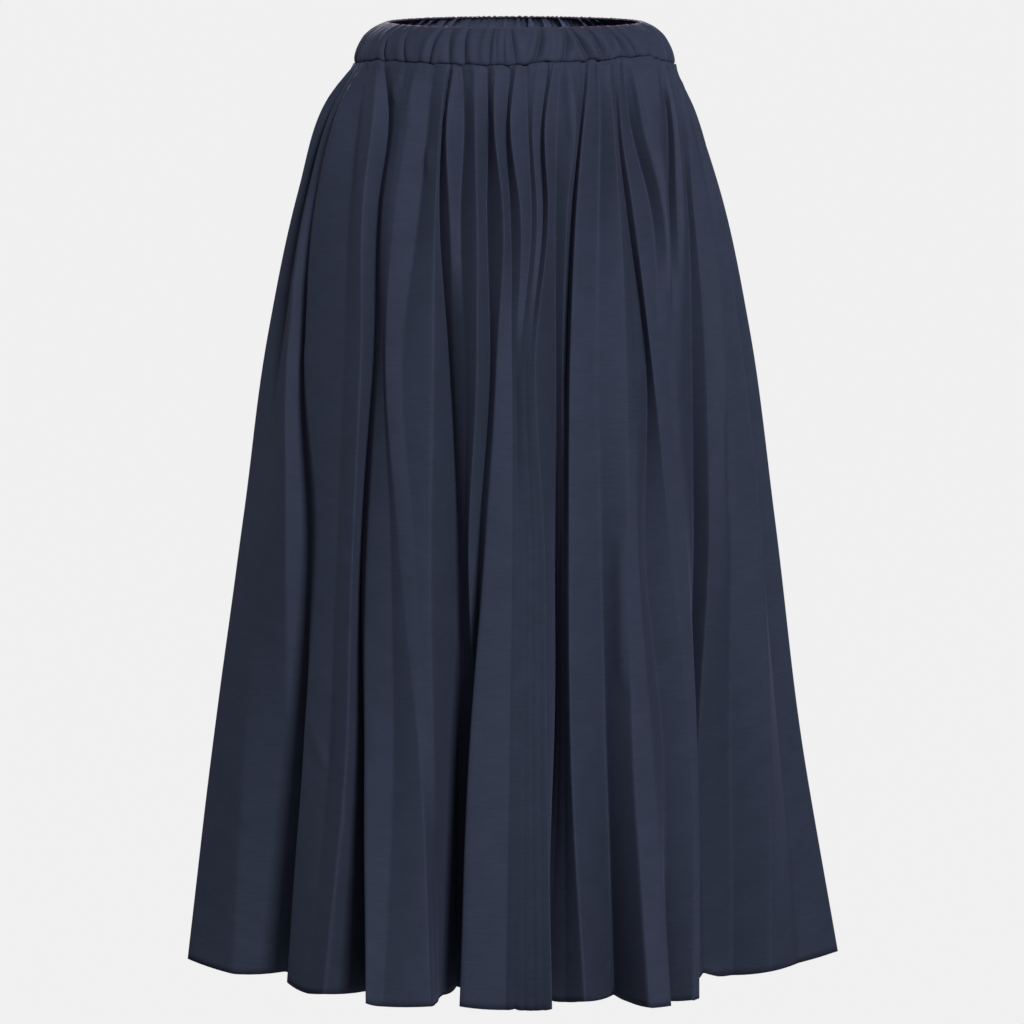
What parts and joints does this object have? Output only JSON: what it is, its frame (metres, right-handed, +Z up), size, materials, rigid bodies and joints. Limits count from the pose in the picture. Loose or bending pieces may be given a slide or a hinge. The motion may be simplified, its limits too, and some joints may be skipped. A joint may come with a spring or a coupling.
{
  "type": "pleated midi skirt",
  "caption": "Pull-on midi skirt of navy accordion-pleated cloth, gathered into an elastic waistband and flaring to an open hem, in its worn, filled-out form.",
  "frame": {"origin": "centre of the waist opening, half-way up the waistband, where the wearer's waist holds the skirt", "axes": "+Z up towards the waist, +X to the viewer's right, -Y out of the front"},
  "size_m": [0.5613, 0.4531, 0.8144],
  "materials": {
    "waistband": "fine navy twill with a soft sheen, matte to satin",
    "skirt_front": "fine navy twill with a soft sheen, matte to satin",
    "skirt_back": "fine navy twill with a soft sheen, matte to satin"
  },
  "bodies": {
    "root": {"waistband": "waistband", "skirt_front": "skirt_front", "skirt_back": "skirt_back"}
  },
  "joints": []
}
